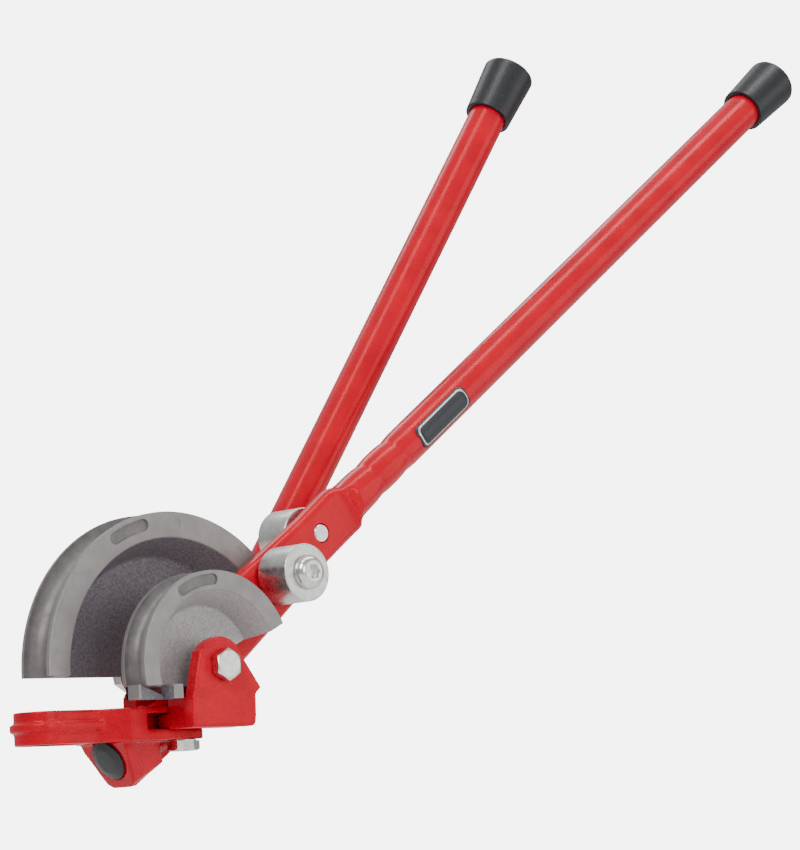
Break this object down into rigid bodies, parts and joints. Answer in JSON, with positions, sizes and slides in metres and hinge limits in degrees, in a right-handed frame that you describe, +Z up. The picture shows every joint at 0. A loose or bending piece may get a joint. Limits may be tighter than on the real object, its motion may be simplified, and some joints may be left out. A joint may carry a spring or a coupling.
{
  "type": "manual tube bender",
  "caption": "Hand-held tube bender with two grooved half-round formers on one pivot, a fixed handle, and a swinging lever that carries a roller for each former.",
  "frame": {"origin": "centre of the pivot bolt head's outer face, on the bending axis", "axes": "+Y along the bending axis, from the bolt head through the small former, lever and big former to the nut; +Z up, with both handles rising to the right; -X towards the stirrup that holds the pipe's tail"},
  "size_m": [0.6832, 0.1216, 0.4954],
  "materials": {
    "red_enamel": "gloss red enamel",
    "cast_aluminium": "as-cast, rims and grooves machined",
    "zinc_steel": "bright zinc plated",
    "turned_steel": "turned and ground",
    "bronze": "sintered bronze",
    "black_vinyl": "moulded black vinyl"
  },
  "bodies": {
    "frame": {"frame_casting": "red_enamel", "front_bracket": "red_enamel", "bracket_bolt": "zinc_steel", "handle_cross_pin": "zinc_steel", "fixed_handle": "red_enamel", "fixed_handle_cap": "black_vinyl", "handle_end_plug": "black_vinyl", "small_former": "cast_aluminium", "big_former": "cast_aluminium", "pivot_bolt": "zinc_steel", "pivot_washer": "zinc_steel", "pivot_lock_nut": "zinc_steel", "front_thrust_washer": "zinc_steel", "rear_thrust_washer": "zinc_steel"},
    "lever": {"lever_arm": "red_enamel", "lever_cap": "black_vinyl", "pivot_bush": "bronze", "front_roller_spacer": "zinc_steel", "rear_roller_spacer": "zinc_steel", "front_roller_axle": "zinc_steel", "rear_roller_axle": "zinc_steel"},
    "front_roller": {"front_roller": "turned_steel"},
    "rear_roller": {"rear_roller": "turned_steel"}
  },
  "joints": [
    {"name": "lever_pivot", "type": "hinge", "parent": "frame", "child": "lever", "pos_m": [0, 0.0401, 0], "axis": [0, -1, 0], "range_deg": [-36, 135]},
    {"name": "front_roller_spin", "type": "hinge", "parent": "lever", "child": "front_roller", "pos_m": [0.06908, 0.01872, 0.05514], "axis": [0, -1, 0], "continuous": true},
    {"name": "rear_roller_spin", "type": "hinge", "parent": "lever", "child": "rear_roller", "pos_m": [0.10646, 0.0615, 0.08229], "axis": [0, -1, 0], "continuous": true}
  ]
}
